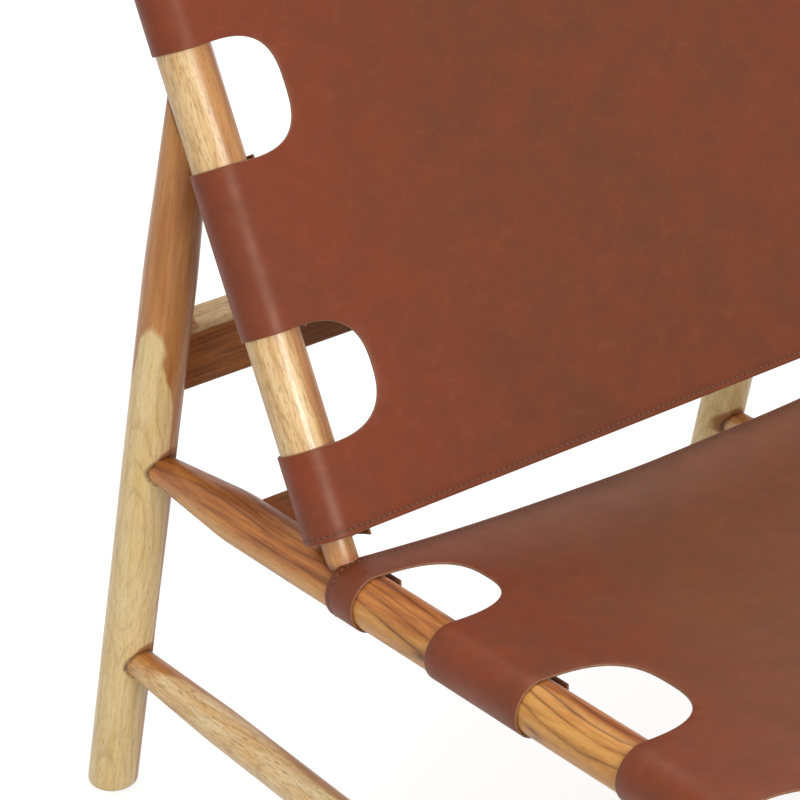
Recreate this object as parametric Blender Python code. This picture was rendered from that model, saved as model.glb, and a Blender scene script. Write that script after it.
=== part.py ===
"""Low lounge chair: two round-section teak side frames, three flat cross rails
and two saddle-leather slings whose loops wrap the posts and the seat rails.

Metres, +Z up. The chair faces -Y and is symmetric about X = 0. The origin is on
the floor, under the middle of the chair's bounding box.
"""
import math

import bmesh
import bpy
from mathutils import Matrix, Vector

# Round members
MEMBER_R = 0.020
STRETCHER_R = 0.0151
POST_NECK_R = 0.0117
RAIL_NECK_R = 0.0123
STRETCHER_NECK_R = 0.0123
ROUND_SIDES = 24

# Side frames, measured from the middle of the rear foot
FRAME_HALF_SPACING = 0.318
REAR_LEG_LEAN = math.radians(11.9)
STRETCHER_JOINT_UP_LEG = 0.138
RAIL_JOINT_UP_LEG = 0.3316
UPPER_RAIL_UP_LEG = 0.429
SEAT_RAIL_RISE = math.radians(1.1)
STRETCHER_DROP = math.radians(1.86)
POST_FROM_REAR_LEG = 0.248
FRONT_LEG_FROM_POST = 0.550
POST_LEAN = math.radians(28.4)
FRONT_LEG_ABOVE_RAIL = 0.030

# Ends and joints of the round members
GAP = 0.0003
OVERRUN = 0.010
TENON_PAST_AXIS = 0.008
NECK_OUT_OF_LEG = 0.004
RAIL_TAPER = 0.088
RAIL_FRONT_TAPER = 0.040
STRETCHER_TAPER = 0.100
POST_NECK_LENGTH = 0.040
POST_TAPER = 0.040
POST_ABOVE_LEATHER = 0.027
LEG_TOP_TAPER = 0.165
LEG_TOP_R = 0.0158
LEG_TENON_R = 0.010
LEG_JOINT_REACH = 0.075
END_ROUND = 0.006
POST_TOP_ROUND = 0.008
ROUND_SEGMENTS = 3
TAPER_STEPS = 4
TAPER_EASE_SHARE = 0.12

# Flat cross rails
CROSS_RAIL_WIDTH = 0.058
CROSS_RAIL_THICKNESS = 0.025
CROSS_RAIL_EDGE = 0.003
CROSS_RAIL_END_INSET = 0.010
LOWER_RAIL_WIDTH = 0.045
LOWER_RAIL_BEHIND_POST = 0.106
FRONT_RAIL_BELOW_SEAT_RAIL = 0.078

# Leather
LEATHER_T = 0.002
LOOP_TURN = math.radians(295.0)
LOOP_STEP = math.radians(10.0)
LOOP_FLARE = 0.002
TAIL_LIFT = 0.0035
NOTCH_POINTS = 18
NOTCH_EASE = 0.014
PANEL_COLUMNS = 24

# Back sling, measured up the post from the seat rail's axis
BACK_BOTTOM = 0.038
BACK_OUTER_LOOP = 0.066
BACK_NOTCH = 0.084
BACK_MIDDLE_LOOP = 0.122
BACK_NOTCH_DEPTH = 0.0585
BACK_HEM_FLARE = 0.006
BACK_LOOP_DRAW = 0.006
LOWER_NOTCH_POWER = 2.6
LOWER_NOTCH_BULGE = 0.003
UPPER_NOTCH_POWER = 2.9
UPPER_NOTCH_BULGE = 0.004

# Seat sling, measured along the rail from the post
SEAT_REAR = -0.002
SEAT_STRAP = 0.030
SEAT_OUTER_NOTCH = 0.081
SEAT_LOOP = 0.096
SEAT_MIDDLE_NOTCH = 0.099
OUTER_NOTCH_DEPTH = 0.066
MIDDLE_NOTCH_DEPTH = 0.069
SEAT_NOTCH_POWER = 2.8
SEAT_NOTCH_SKEW = 0.003
SEAT_SAG = 0.018

# Tacks that hold the loop ends
TACK_HEAD_R = 0.0045
TACK_HEAD_HEIGHT = 0.0018
TACK_SHANK_R = 0.0011
TACK_IN_WOOD = 0.007
TACK_HOLE_GAP = 0.0004
TACK_FROM_LOOP_EDGE = 0.016
TACK_ANGLE = math.radians(-22.0)
TACK_SIDES = 12
SHANK_SIDES = 8

LEATHER_R = MEMBER_R + GAP + LEATHER_T / 2


# Places in the plane of a side frame, each a vector (0, y, z)

def forward(angle):
    """Unit vector that points to the chair's front and rises by the angle."""
    return Vector((0.0, -math.cos(angle), math.sin(angle)))


def upward(lean):
    """Unit vector that points up and leans by the angle, towards +Y if positive."""
    return Vector((0.0, math.sin(lean), math.cos(lean)))


def meet(point, direction, other, other_direction):
    """Where two lines in the plane of a side frame cross."""
    span = other - point
    cross = direction.y * other_direction.z - direction.z * other_direction.y
    reach = (span.y * other_direction.z - span.z * other_direction.y) / cross
    return point + direction * reach


LEG_DIR = upward(-REAR_LEG_LEAN)
RAIL_DIR = forward(SEAT_RAIL_RISE)
STRETCHER_DIR = forward(-STRETCHER_DROP)
POST_DIR = upward(POST_LEAN)
FRONT_LEG_DIR = upward(0.0)

# The chair's depth runs from the rear foot's rounded back to the front leg's front
ROUND_LOSS_SHARE = 1 - math.tan(math.pi / 4 - REAR_LEG_LEAN / 2)
FOOT_HALF_DEPTH = MEMBER_R / math.cos(REAR_LEG_LEAN) - END_ROUND * ROUND_LOSS_SHARE
RAIL_JOINT_FORWARD = RAIL_JOINT_UP_LEG * math.sin(REAR_LEG_LEAN)
RAIL_FORWARD = (POST_FROM_REAR_LEG + FRONT_LEG_FROM_POST) * math.cos(SEAT_RAIL_RISE)
DEPTH = FOOT_HALF_DEPTH + RAIL_JOINT_FORWARD + RAIL_FORWARD + MEMBER_R

REAR_FOOT = Vector((0.0, DEPTH / 2 - FOOT_HALF_DEPTH, 0.0))
STRETCHER_REAR = REAR_FOOT + LEG_DIR * STRETCHER_JOINT_UP_LEG
RAIL_REAR = REAR_FOOT + LEG_DIR * RAIL_JOINT_UP_LEG
POST_FOOT = RAIL_REAR + RAIL_DIR * POST_FROM_REAR_LEG
RAIL_FRONT = POST_FOOT + RAIL_DIR * FRONT_LEG_FROM_POST
FRONT_FOOT = Vector((0.0, RAIL_FRONT.y, 0.0))
STRETCHER_FRONT = meet(STRETCHER_REAR, STRETCHER_DIR, FRONT_FOOT, FRONT_LEG_DIR)
LEG_TOP = meet(REAR_FOOT, LEG_DIR, POST_FOOT, POST_DIR)
UPPER_RAIL_CENTRE = REAR_FOOT + LEG_DIR * UPPER_RAIL_UP_LEG
LOWER_RAIL_CENTRE = POST_FOOT - RAIL_DIR * LOWER_RAIL_BEHIND_POST
FRONT_RAIL_CENTRE = RAIL_FRONT - FRONT_LEG_DIR * FRONT_RAIL_BELOW_SEAT_RAIL
POST_FRONT = Vector((0.0, -POST_DIR.z, POST_DIR.y))
RAIL_TOP = Vector((0.0, RAIL_DIR.z, -RAIL_DIR.y))

SIDES = {"left": -1, "right": 1}


def clear_scene():
    for obj in list(bpy.data.objects):
        bpy.data.objects.remove(obj, do_unlink=True)


def principled(name, colour, roughness, metallic):
    material = bpy.data.materials.new(name)
    material.use_nodes = True
    shader = material.node_tree.nodes["Principled BSDF"]
    shader.inputs["Base Color"].default_value = (*colour, 1.0)
    shader.inputs["Roughness"].default_value = roughness
    shader.inputs["Metallic"].default_value = metallic
    material.diffuse_color = (*colour, 1.0)
    return material


def finish_mesh(name, bm, material):
    """Turn a bmesh into an object of the same name, shaded smooth over its curves."""
    bmesh.ops.recalc_face_normals(bm, faces=bm.faces[:])
    mesh = bpy.data.meshes.new(name)
    bm.to_mesh(mesh)
    bm.free()
    mesh.shade_smooth()
    mesh.set_sharp_from_angle(angle=math.radians(40.0))
    obj = bpy.data.objects.new(name, mesh)
    if material:
        mesh.materials.append(material)
    bpy.context.collection.objects.link(obj)
    return obj


def turned(name, profile, sides, material):
    """Solid of revolution about Z from a profile of (height, radius) pairs."""
    bm = bmesh.new()
    rings = []
    for height, radius in profile:
        ring = bmesh.ops.create_circle(bm, segments=sides, radius=radius)["verts"]
        bmesh.ops.translate(bm, verts=ring, vec=(0.0, 0.0, height))
        rings.append(ring)
    for low, high in zip(rings, rings[1:]):
        for i in range(sides):
            j = (i + 1) % sides
            bm.faces.new((low[i], low[j], high[j], high[i]))
    bm.faces.new(rings[0][::-1])
    bm.faces.new(rings[-1])
    return finish_mesh(name, bm, material)


def aim(obj, place, direction):
    """Stand the object's Z axis along a direction from a place."""
    obj.rotation_mode = "QUATERNION"
    obj.rotation_quaternion = direction.to_track_quat("Z", "X")
    obj.location = place


def at_side(place, side):
    return Vector((side * FRAME_HALF_SPACING, place.y, place.z))


def guide(obj):
    obj.hide_render = True
    obj.display_type = "WIRE"
    return obj


def boolean(obj, tool, operation):
    modifier = obj.modifiers.new(tool.name, "BOOLEAN")
    modifier.operation = operation
    modifier.solver = "EXACT"
    modifier.object = tool


def round_tool(name, place, direction, start, end, radius, sides=ROUND_SIDES):
    """Plain cylinder along a line, from one distance to another."""
    tool = turned(name, [(start, radius), (end, radius)], sides, None)
    aim(tool, place, direction)
    return guide(tool)


def drill(obj, place, direction, start, end, radius, sides=ROUND_SIDES):
    name = f"hole_{obj.name}_{len(obj.modifiers)}"
    boolean(obj, round_tool(name, place, direction, start, end, radius, sides), "DIFFERENCE")


def taper(start, length, radius, full_radius):
    """Profile points of a cone that eases into the full radius."""
    points = [(start, radius)]
    for i in range(TAPER_STEPS + 1):
        share = 1 + TAPER_EASE_SHARE * (2 * i / TAPER_STEPS - 1)
        short_share = (1 + TAPER_EASE_SHARE - share) ** 2 / (4 * TAPER_EASE_SHARE)
        points.append((start + share * length, full_radius - (full_radius - radius) * short_share))
    return points


def mirrored(profile, end):
    return [(end - distance, radius) for distance, radius in reversed(profile)]


def rounded_end(end, radius, rounding):
    """Profile points of an end with a rounded rim."""
    points = []
    for i in range(ROUND_SEGMENTS + 1):
        angle = i / ROUND_SEGMENTS * math.pi / 2
        height = end - rounding + rounding * math.sin(angle)
        points.append((height, radius - rounding + rounding * math.cos(angle)))
    return points


def flat_foot(obj):
    """Cut a leg level with the floor and round the rim of its foot."""
    bm = bmesh.new()
    bm.from_mesh(obj.data)
    local_up = obj.rotation_quaternion.inverted() @ Vector((0.0, 0.0, 1.0))
    geometry = bm.verts[:] + bm.edges[:] + bm.faces[:]
    cut = bmesh.ops.bisect_plane(
        bm, geom=geometry, plane_co=(0.0, 0.0, 0.0), plane_no=local_up, clear_inner=True
    )
    rim = [item for item in cut["geom_cut"] if isinstance(item, bmesh.types.BMEdge)]
    bmesh.ops.contextual_create(bm, geom=rim)
    rim = [edge for edge in bm.edges if all(abs(v.co.dot(local_up)) < GAP for v in edge.verts)]
    bmesh.ops.bevel(
        bm, geom=rim, offset=END_ROUND, segments=ROUND_SEGMENTS, profile=0.5, affect="EDGES"
    )
    bm.to_mesh(obj.data)
    bm.free()
    obj.data.shade_smooth()
    obj.data.set_sharp_from_angle(angle=math.radians(40.0))


def rear_leg(name, side, wood):
    """Rear leg: coped and tenoned into the back of its post at the top."""
    top = (LEG_TOP - REAR_FOOT).length
    swell = mirrored(taper(0.0, LEG_TOP_TAPER, LEG_TOP_R, MEMBER_R), top)
    leg = turned(name, [(-OVERRUN, MEMBER_R)] + swell, ROUND_SIDES, wood)
    aim(leg, at_side(REAR_FOOT, side), LEG_DIR)
    flat_foot(leg)
    leg_end = at_side(LEG_TOP, side)
    drill(leg, leg_end, POST_DIR, -LEG_JOINT_REACH, LEG_JOINT_REACH, MEMBER_R + GAP)
    tenon = round_tool(
        f"tenon_{name}", leg_end, LEG_DIR, -LEG_JOINT_REACH, TENON_PAST_AXIS, LEG_TENON_R
    )
    boolean(leg, tenon, "UNION")
    drill_neck(leg, RAIL_REAR, RAIL_DIR, RAIL_NECK_R, side)
    drill_neck(leg, STRETCHER_REAR, STRETCHER_DIR, STRETCHER_NECK_R, side)
    return leg


def drill_neck(obj, joint, direction, radius, side):
    """Blind hole for a neck that comes in from along its own direction."""
    depth = TENON_PAST_AXIS + GAP
    drill(obj, at_side(joint, side), direction, -depth, MEMBER_R + OVERRUN, radius + GAP)


def front_leg(name, side, wood):
    top = RAIL_FRONT.z + FRONT_LEG_ABOVE_RAIL
    profile = [(-OVERRUN, MEMBER_R)] + rounded_end(top, MEMBER_R, END_ROUND)
    leg = turned(name, profile, ROUND_SIDES, wood)
    aim(leg, at_side(FRONT_FOOT, side), FRONT_LEG_DIR)
    flat_foot(leg)
    drill_neck(leg, RAIL_FRONT, -RAIL_DIR, RAIL_NECK_R, side)
    drill_neck(leg, STRETCHER_FRONT, -STRETCHER_DIR, STRETCHER_NECK_R, side)
    return leg


def back_post(name, side, wood):
    top = BACK_BOTTOM + BACK_HEIGHT + POST_ABOVE_LEATHER
    profile = [(-TENON_PAST_AXIS, POST_NECK_R)]
    profile += taper(POST_NECK_LENGTH, POST_TAPER, POST_NECK_R, MEMBER_R)
    profile += rounded_end(top, MEMBER_R, POST_TOP_ROUND)
    post = turned(name, profile, ROUND_SIDES, wood)
    aim(post, at_side(POST_FOOT, side), POST_DIR)
    leg_end = at_side(LEG_TOP, side)
    drill(post, leg_end, LEG_DIR, -LEG_JOINT_REACH, TENON_PAST_AXIS + GAP, LEG_TENON_R + GAP)
    return post


def spindle(name, side, wood, line, radius, neck_radius, rear_taper, front_taper):
    """Round member with a tapered neck at each end, tenoned into two legs."""
    rear, front = line
    direction = (front - rear).normalized()
    length = (front - rear).length
    profile = [(-TENON_PAST_AXIS, neck_radius)]
    shoulder = MEMBER_R + NECK_OUT_OF_LEG
    profile += taper(shoulder, rear_taper, neck_radius, radius)
    profile += mirrored(taper(shoulder, front_taper, neck_radius, radius), length)
    profile += [(length + TENON_PAST_AXIS, neck_radius)]
    bar = turned(name, profile, ROUND_SIDES, wood)
    aim(bar, at_side(rear, side), direction)
    return bar


def seat_rail(name, side, wood):
    line = (RAIL_REAR, RAIL_FRONT)
    rail = spindle(name, side, wood, line, MEMBER_R, RAIL_NECK_R, RAIL_TAPER, RAIL_FRONT_TAPER)
    drill_neck(rail, POST_FOOT, POST_DIR, POST_NECK_R, side)
    return rail


def side_stretcher(name, side, wood):
    line = (STRETCHER_REAR, STRETCHER_FRONT)
    radii = (STRETCHER_R, STRETCHER_NECK_R)
    return spindle(name, side, wood, line, *radii, STRETCHER_TAPER, STRETCHER_TAPER)


def flat_bar(name, centre, width_dir, width, half_length, grow, material):
    """Flat bar across the chair with eased edges, its width along a direction."""
    thickness_dir = width_dir.cross(Vector((1.0, 0.0, 0.0)))
    bm = bmesh.new()
    bmesh.ops.create_cube(bm, size=1.0)
    scale = (2 * half_length, width + 2 * grow, CROSS_RAIL_THICKNESS + 2 * grow)
    bmesh.ops.scale(bm, vec=scale, verts=bm.verts[:])
    long_edges = []
    for edge in bm.edges:
        run = edge.verts[0].co - edge.verts[1].co
        if abs(run.x) > half_length:
            long_edges.append(edge)
    bmesh.ops.bevel(
        bm,
        geom=long_edges,
        offset=CROSS_RAIL_EDGE,
        segments=ROUND_SEGMENTS,
        profile=0.5,
        affect="EDGES",
    )
    bar = finish_mesh(name, bm, material)
    turn = Matrix((Vector((1.0, 0.0, 0.0)), width_dir, thickness_dir)).transposed()
    bar.rotation_mode = "QUATERNION"
    bar.rotation_quaternion = turn.to_quaternion()
    bar.location = centre
    return bar


def cross_rail(name, centre, width_dir, width, holders, wood):
    """Flat rail housed at both ends in two round members."""
    half_length = FRAME_HALF_SPACING - CROSS_RAIL_END_INSET
    bar = flat_bar(name, centre, width_dir, width, half_length, 0.0, wood)
    housing = flat_bar(f"housing_{name}", centre, width_dir, width, half_length + GAP, GAP, None)
    guide(housing)
    for holder in holders:
        boolean(holder, housing, "DIFFERENCE")
    return bar


# Leather slings: a flat pattern in (across, along) that is bent round the members

class Sling:
    """Bends a flat pattern: flat or sagging between the members, wrapped round them."""

    def __init__(self, base, along, normal, sag):
        self.base = base
        self.along = along
        self.normal = normal
        self.slope = math.atan2(2 * sag, FRAME_HALF_SPACING)
        self.half_panel = FRAME_HALF_SPACING - LEATHER_R * math.sin(self.slope)
        self.sag = self.half_panel * math.tan(self.slope) / 2
        self.turn = LOOP_TURN + self.slope
        self.half_width = self.half_panel + self.turn * LEATHER_R

    def section(self, across, offset):
        """Place of a pattern point in the plane square to the members."""
        side = math.copysign(1.0, across)
        reach = abs(across)
        if reach <= self.half_panel:
            share = reach / self.half_panel
            lift = LEATHER_R * math.cos(self.slope) - self.sag * (1 - share * share)
            tilt = math.atan(math.tan(self.slope) * share)
            x = reach - offset * math.sin(tilt)
            return side * x, lift + offset * math.cos(tilt)
        turned = (reach - self.half_panel) / LEATHER_R
        angle = math.pi / 2 + self.slope - turned
        tack_turn = 3 * math.pi / 2 + self.slope + TACK_ANGLE
        tail_share = max(0.0, (turned - tack_turn) / (self.turn - tack_turn))
        radius = LEATHER_R + offset + TAIL_LIFT * tail_share ** 2
        return side * (FRAME_HALF_SPACING + radius * math.cos(angle)), radius * math.sin(angle)

    def place(self, across, along, offset):
        x, lift = self.section(across, offset)
        spot = self.base + self.along * along + self.normal * lift
        return Vector((x, spot.y, spot.z))


def notch(sling, low, high, shape):
    """Outline of one cut-out, from the loop's end in to the rounded tip and back."""
    depth, power, skew, bulge, bends_below, bends_above = shape
    middle = (low + high) / 2
    half = (high - low) / 2
    tip = []
    for i in range(NOTCH_POINTS + 1):
        angle = math.pi * (i / NOTCH_POINTS - 0.5)
        run = max(0.0, math.cos(angle)) ** (2 / power)
        rise = math.copysign(abs(math.sin(angle)) ** (2 / power), angle)
        along = middle + (half + bulge * run) * rise - skew * run
        tip.append((sling.half_panel - depth * run, along))
    loop_below = loop_edge(sling, low, bends_below)
    loop_above = loop_edge(sling, high, [-bend for bend in bends_above])
    return loop_below[::-1] + tip + loop_above


def loop_edge(sling, station, bends):
    """One edge of a loop from the panel to its end, bent at half a turn and at the end."""
    half_turn_bend, end_bend = bends
    return [
        (sling.half_panel + NOTCH_EASE, station),
        (sling.half_panel + LEATHER_R * math.pi, station + half_turn_bend),
        (sling.half_width, station + end_bend),
    ]


def outline(sling, start, pieces, shapes, start_flare):
    """Closed outline of the flat pattern, from loop and notch lengths in turn."""
    right = [(sling.half_panel, start)] + loop_edge(sling, start, (0.0, -start_flare))
    station = start
    for i, length in enumerate(pieces):
        if i % 2:
            right += notch(sling, station, station + length, shapes[i // 2])
        station += length
    right += loop_edge(sling, station, FLARED)[::-1] + [(sling.half_panel, station)]
    left = [(-across, along) for across, along in reversed(right)]
    return right + left


def sling_columns(sling):
    """Pattern lines across which the leather bends."""
    lines = []
    steps = math.ceil(sling.turn / LOOP_STEP)
    for i in range(steps):
        lines.append(sling.half_panel + i * LEATHER_R * sling.turn / steps)
    if sling.sag:
        for i in range(PANEL_COLUMNS // 2):
            lines.append(i * sling.half_panel * 2 / PANEL_COLUMNS)
    return sorted(set([-line for line in lines] + lines))


def leather_sling(name, sling, points, leather):
    """Slice the flat pattern along its bend lines, then bend it at both faces."""
    flat = bmesh.new()
    corners = [flat.verts.new((across, along, 0.0)) for across, along in points]
    flat.faces.new(corners)
    for line in sling_columns(sling):
        geometry = flat.verts[:] + flat.edges[:] + flat.faces[:]
        place = (line, 0.0, 0.0)
        bmesh.ops.bisect_plane(flat, geom=geometry, plane_co=place, plane_no=(1.0, 0.0, 0.0))
    bmesh.ops.triangulate(flat, faces=[face for face in flat.faces if len(face.verts) > 4])
    flat.verts.index_update()
    body = bmesh.new()
    layers = []
    for offset in (-LEATHER_T / 2, LEATHER_T / 2):
        layers.append([body.verts.new(sling.place(v.co.x, v.co.y, offset)) for v in flat.verts])
    inner, outer = layers
    for face in flat.faces:
        ids = [vert.index for vert in face.verts]
        body.faces.new([outer[i] for i in ids])
        body.faces.new([inner[i] for i in reversed(ids)])
    for edge in flat.edges:
        if edge.is_boundary:
            a, b = (vert.index for vert in edge.verts)
            body.faces.new((inner[a], inner[b], outer[b], outer[a]))
    flat.free()
    return finish_mesh(name, body, leather)


def loop_edges(start, pieces):
    """Lower and upper edge of each loop."""
    loops = []
    station = start
    for i, length in enumerate(pieces):
        if i % 2 == 0:
            loops.append((station, station + length))
        station += length
    return loops


def tack_stations(low, high):
    """Two tacks to a loop, or one where it is narrow."""
    if high - low < 3 * TACK_FROM_LOOP_EDGE:
        return [(low + high) / 2]
    return [low + TACK_FROM_LOOP_EDGE, high - TACK_FROM_LOOP_EDGE]


def tack(name, place, direction, brass):
    """Round-headed tack whose origin is under its head."""
    shank = LEATHER_T + GAP + TACK_IN_WOOD
    profile = [
        (-shank, TACK_SHANK_R),
        (0.0, TACK_SHANK_R),
        (0.0, TACK_HEAD_R),
        (TACK_HEAD_HEIGHT / 2, TACK_HEAD_R * math.cos(math.pi / 6)),
        (TACK_HEAD_HEIGHT, TACK_HEAD_R / 3),
    ]
    nail = turned(name, profile, TACK_SIDES, brass)
    aim(nail, place, direction)
    return nail


def tack_row(prefix, sling, loops, holders, leather, brass):
    """Tack each loop end to the inner side of the member it wraps."""
    for side_name, side in SIDES.items():
        count = 0
        for low, high in loops:
            for station in tack_stations(low, high):
                count += 1
                inward = Vector((-side, 0.0, 0.0))
                out = inward * math.cos(TACK_ANGLE) + sling.normal * math.sin(TACK_ANGLE)
                axis = sling.base + sling.along * station
                reach = LEATHER_R + LEATHER_T / 2 + GAP
                seat = at_side(axis, side) + out * reach
                tack(f"{prefix}_tack_{side_name}_{count}", seat, out, brass)
                depth = LEATHER_T + 2 * GAP + TACK_IN_WOOD
                hole_r = TACK_SHANK_R + TACK_HOLE_GAP
                for obj in (holders[side_name], leather):
                    drill(obj, seat, out, -depth, OVERRUN, hole_r, SHANK_SIDES)


# How far a loop's edge leans into the cut-out beside it, at half a turn and at its end
STRAIGHT = (0.0, 0.0)
FLARED = (0.0, LOOP_FLARE)
DRAWN = (0.0, -BACK_LOOP_DRAW)
SLANTED = (-BACK_LOOP_DRAW * math.pi / LOOP_TURN, -BACK_LOOP_DRAW)

BACK_PIECES = [BACK_OUTER_LOOP, BACK_NOTCH, BACK_MIDDLE_LOOP, BACK_NOTCH, BACK_OUTER_LOOP]
BACK_HEIGHT = sum(BACK_PIECES)
BACK_SHAPES = [
    (BACK_NOTCH_DEPTH, LOWER_NOTCH_POWER, 0.0, LOWER_NOTCH_BULGE, DRAWN, FLARED),
    (BACK_NOTCH_DEPTH, UPPER_NOTCH_POWER, 0.0, UPPER_NOTCH_BULGE, FLARED, SLANTED),
]
SEAT_PIECES = [
    SEAT_STRAP,
    SEAT_OUTER_NOTCH,
    SEAT_LOOP,
    SEAT_MIDDLE_NOTCH,
    SEAT_LOOP,
    SEAT_OUTER_NOTCH,
    SEAT_STRAP,
]
OUTER_SHAPE = (OUTER_NOTCH_DEPTH, SEAT_NOTCH_POWER, SEAT_NOTCH_SKEW, 0.0)
MIDDLE_SHAPE = (MIDDLE_NOTCH_DEPTH, SEAT_NOTCH_POWER, SEAT_NOTCH_SKEW, 0.0)
SEAT_SHAPES = [
    (*OUTER_SHAPE, STRAIGHT, FLARED),
    (*MIDDLE_SHAPE, FLARED, FLARED),
    (*OUTER_SHAPE, FLARED, STRAIGHT),
]


def main():
    clear_scene()
    teak = principled("teak", (0.50, 0.29, 0.13), 0.45, 0.0)
    saddle = principled("saddle_leather", (0.22, 0.07, 0.04), 0.5, 0.0)
    brass = principled("brass", (0.55, 0.38, 0.15), 0.35, 1.0)

    rear_legs, front_legs, posts, rails = {}, {}, {}, {}
    for name, side in SIDES.items():
        rear_legs[name] = rear_leg(f"rear_leg_{name}", side, teak)
        front_legs[name] = front_leg(f"front_leg_{name}", side, teak)
        posts[name] = back_post(f"back_post_{name}", side, teak)
        rails[name] = seat_rail(f"seat_rail_{name}", side, teak)
        side_stretcher(f"side_stretcher_{name}", side, teak)

    upper = (UPPER_RAIL_CENTRE, LEG_DIR, CROSS_RAIL_WIDTH)
    lower = (LOWER_RAIL_CENTRE, RAIL_DIR, LOWER_RAIL_WIDTH)
    front = (FRONT_RAIL_CENTRE, FRONT_LEG_DIR, CROSS_RAIL_WIDTH)
    cross_rail("upper_back_rail", *upper, rear_legs.values(), teak)
    cross_rail("lower_back_rail", *lower, rails.values(), teak)
    cross_rail("front_rail", *front, front_legs.values(), teak)

    back = Sling(POST_FOOT, POST_DIR, POST_FRONT, 0.0)
    back_points = outline(back, BACK_BOTTOM, BACK_PIECES, BACK_SHAPES, BACK_HEM_FLARE)
    back_leather = leather_sling("back_sling", back, back_points, saddle)
    tack_row("back", back, loop_edges(BACK_BOTTOM, BACK_PIECES), posts, back_leather, brass)

    seat = Sling(POST_FOOT, RAIL_DIR, RAIL_TOP, SEAT_SAG)
    seat_points = outline(seat, SEAT_REAR, SEAT_PIECES, SEAT_SHAPES, LOOP_FLARE)
    seat_leather = leather_sling("seat_sling", seat, seat_points, saddle)
    for side in SIDES.values():
        relief = POST_NECK_R + 2 * GAP
        drill(seat_leather, at_side(POST_FOOT, side), POST_DIR, 0.0, POST_NECK_LENGTH, relief)
    tack_row("seat", seat, loop_edges(SEAT_REAR, SEAT_PIECES), rails, seat_leather, brass)


main()
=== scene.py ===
"""Low lounge chair of round oiled-wood members with saddle-leather slings.

Builds the visible wood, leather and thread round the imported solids, in metres.
The chair faces -Y and stands on the floor at Z = 0.
"""
import math

import bmesh
import bpy
from mathutils import Matrix, Vector, noise


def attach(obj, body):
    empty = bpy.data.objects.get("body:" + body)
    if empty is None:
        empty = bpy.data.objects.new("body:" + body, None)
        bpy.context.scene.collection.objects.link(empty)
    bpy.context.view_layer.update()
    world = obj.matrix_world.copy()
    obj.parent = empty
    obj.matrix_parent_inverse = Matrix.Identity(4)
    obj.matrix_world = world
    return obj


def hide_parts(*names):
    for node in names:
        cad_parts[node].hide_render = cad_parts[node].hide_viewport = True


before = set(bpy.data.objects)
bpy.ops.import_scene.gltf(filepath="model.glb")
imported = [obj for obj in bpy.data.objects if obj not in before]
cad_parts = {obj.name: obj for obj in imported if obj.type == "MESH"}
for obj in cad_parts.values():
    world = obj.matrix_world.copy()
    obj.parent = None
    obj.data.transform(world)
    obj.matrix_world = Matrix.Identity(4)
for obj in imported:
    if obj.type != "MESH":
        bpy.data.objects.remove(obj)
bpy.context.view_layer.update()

# Sizes shared with the solids
MEMBER_R = 0.020
STRETCHER_R = 0.0151
POST_NECK_R = 0.0117
RAIL_NECK_R = 0.0123
STRETCHER_NECK_R = 0.0123
FRAME_HALF_SPACING = 0.318
REAR_LEG_LEAN = math.radians(11.9)
STRETCHER_JOINT_UP_LEG = 0.138
RAIL_JOINT_UP_LEG = 0.3316
UPPER_RAIL_UP_LEG = 0.429
SEAT_RAIL_RISE = math.radians(1.1)
STRETCHER_DROP = math.radians(1.86)
POST_FROM_REAR_LEG = 0.248
FRONT_LEG_FROM_POST = 0.550
POST_LEAN = math.radians(28.4)
FRONT_LEG_ABOVE_RAIL = 0.030

GAP = 0.0003
TENON_PAST_AXIS = 0.008
NECK_OUT_OF_LEG = 0.004
RAIL_TAPER = 0.088
RAIL_FRONT_TAPER = 0.040
STRETCHER_TAPER = 0.100
POST_NECK_LENGTH = 0.040
POST_TAPER = 0.040
POST_ABOVE_LEATHER = 0.027
LEG_TOP_TAPER = 0.165
LEG_TOP_R = 0.0158
END_ROUND = 0.006
POST_TOP_ROUND = 0.008

CROSS_RAIL_WIDTH = 0.058
CROSS_RAIL_THICKNESS = 0.025
CROSS_RAIL_EDGE = 0.003
CROSS_RAIL_END_INSET = 0.010
LOWER_RAIL_WIDTH = 0.045
LOWER_RAIL_BEHIND_POST = 0.106
FRONT_RAIL_BELOW_SEAT_RAIL = 0.078

LEATHER_T = 0.002
LOOP_TURN = math.radians(295.0)
LOOP_FLARE = 0.002
TAIL_LIFT = 0.0035
NOTCH_EASE = 0.014
BACK_BOTTOM = 0.038
BACK_OUTER_LOOP = 0.066
BACK_NOTCH = 0.084
BACK_MIDDLE_LOOP = 0.122
BACK_NOTCH_DEPTH = 0.0585
BACK_HEM_FLARE = 0.006
BACK_LOOP_DRAW = 0.006
LOWER_NOTCH_POWER = 2.6
LOWER_NOTCH_BULGE = 0.003
UPPER_NOTCH_POWER = 2.9
UPPER_NOTCH_BULGE = 0.004
SEAT_REAR = -0.002
SEAT_STRAP = 0.030
SEAT_OUTER_NOTCH = 0.081
SEAT_LOOP = 0.096
SEAT_MIDDLE_NOTCH = 0.099
OUTER_NOTCH_DEPTH = 0.066
MIDDLE_NOTCH_DEPTH = 0.069
SEAT_NOTCH_POWER = 2.8
SEAT_NOTCH_SKEW = 0.003
SEAT_SAG = 0.018
TACK_ANGLE = math.radians(-22.0)

# Fineness of the visible meshes
LIMB_SIDES = 56
RING_SPACING = 0.004
EASE_STEPS = 6
TAPER_EASE_SHARE = 0.12
ROUND_STEPS = 6
BAR_RING_SPACING = 0.012
EDGE_STEPS = 4
NOTCH_POINTS = 48
WRAP_STEP = math.radians(7.0)
PANEL_STEP = 0.011
ROW_STEP = 0.011
RIM_STEPS = 2
THREAD_SIDES = 6
SHARP_ANGLE = math.radians(50.0)

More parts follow.
